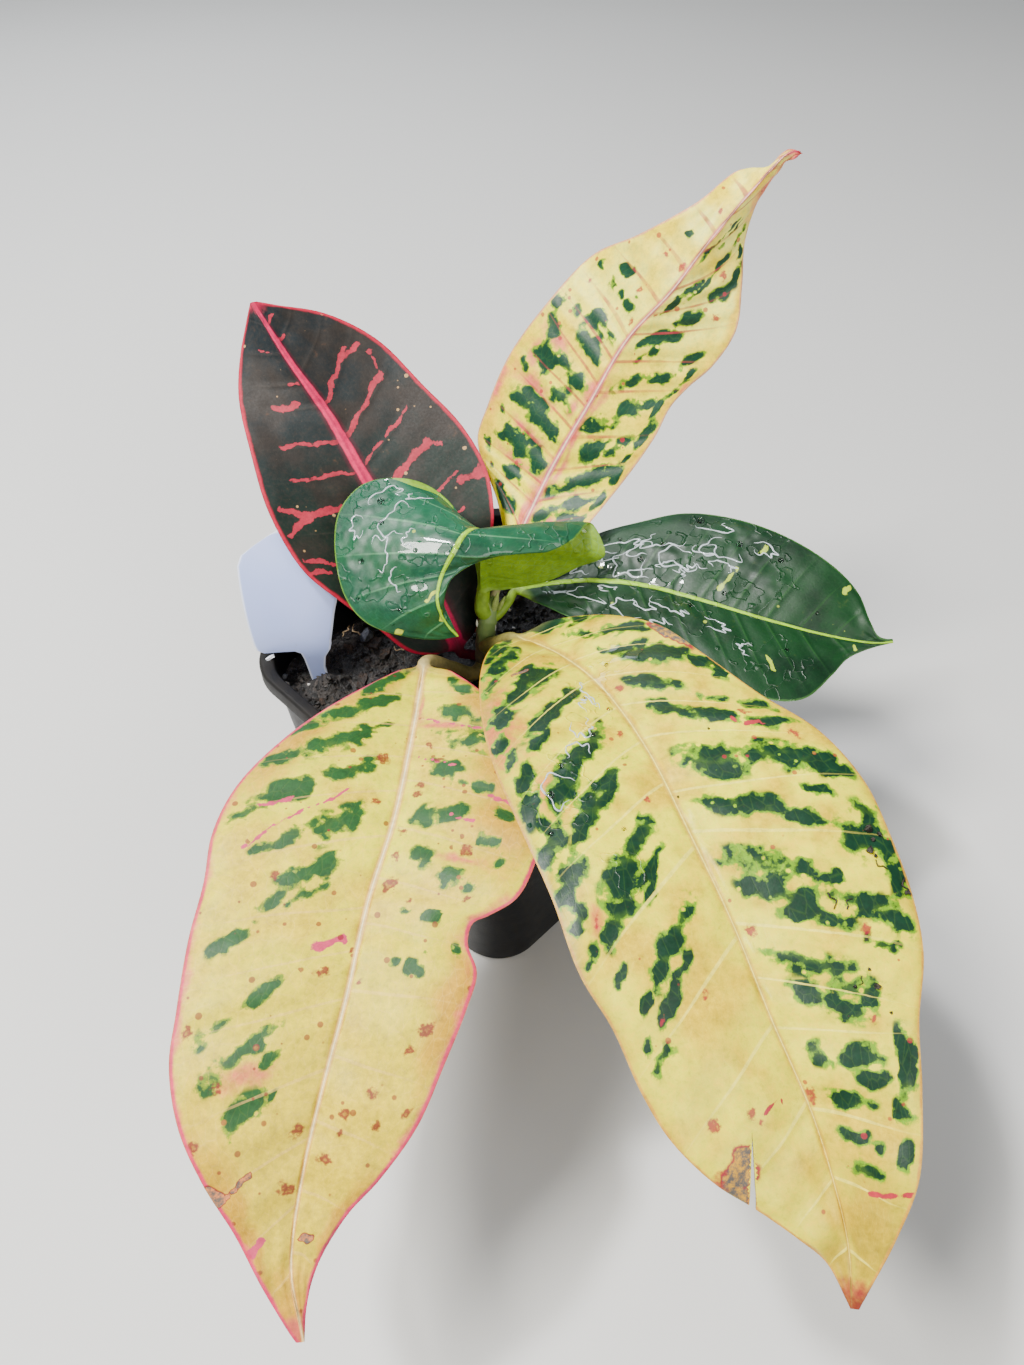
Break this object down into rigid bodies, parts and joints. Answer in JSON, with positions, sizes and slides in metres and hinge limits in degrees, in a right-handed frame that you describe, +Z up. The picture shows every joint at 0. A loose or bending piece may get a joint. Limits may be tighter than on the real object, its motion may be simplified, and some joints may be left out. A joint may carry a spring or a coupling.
{
  "type": "potted croton",
  "caption": "Young broad-leaved croton with yellow, green and pink-veined leaves in a square black nursery pot with a white plant label.",
  "frame": {"origin": "centre of the underside of the pot's base", "axes": "+Z up out of the pot; the pot's corners point along X and Y; the two long lower leaves reach towards -Y and the upright leaves lean towards +Y"},
  "size_m": [0.1763, 0.234, 0.1875],
  "materials": {
    "pot_plastic": "satin black, moulded",
    "peat": "loose dark peat mix, moist",
    "stem_bark": "green shoot, grey-brown at the foot",
    "label_plastic": "smooth white, satin",
    "leaf_red_green": "near-black green with pink midrib, veins and edge, waxy",
    "leaf_yellow_upper": "pale yellow with green blotches and a pink midrib, waxy",
    "leaf_green_centre": "wet mid green, yellow-green underneath",
    "leaf_green_right": "wet dark green with a yellow-green midrib",
    "leaf_tan_lower": "yellow-tan with green blotches, pink edge and brown spots",
    "leaf_yellow_lower": "yellow with green blotches between cream veins, torn near the tip"
  },
  "bodies": {
    "root": {"pot": "pot_plastic", "soil": "peat", "stem": "stem_bark", "label": "label_plastic", "leaf_upper_left": "leaf_red_green", "leaf_upper_right": "leaf_yellow_upper", "leaf_centre": "leaf_green_centre", "leaf_right": "leaf_green_right", "leaf_lower_left": "leaf_tan_lower", "leaf_lower_right": "leaf_yellow_lower"}
  },
  "joints": []
}
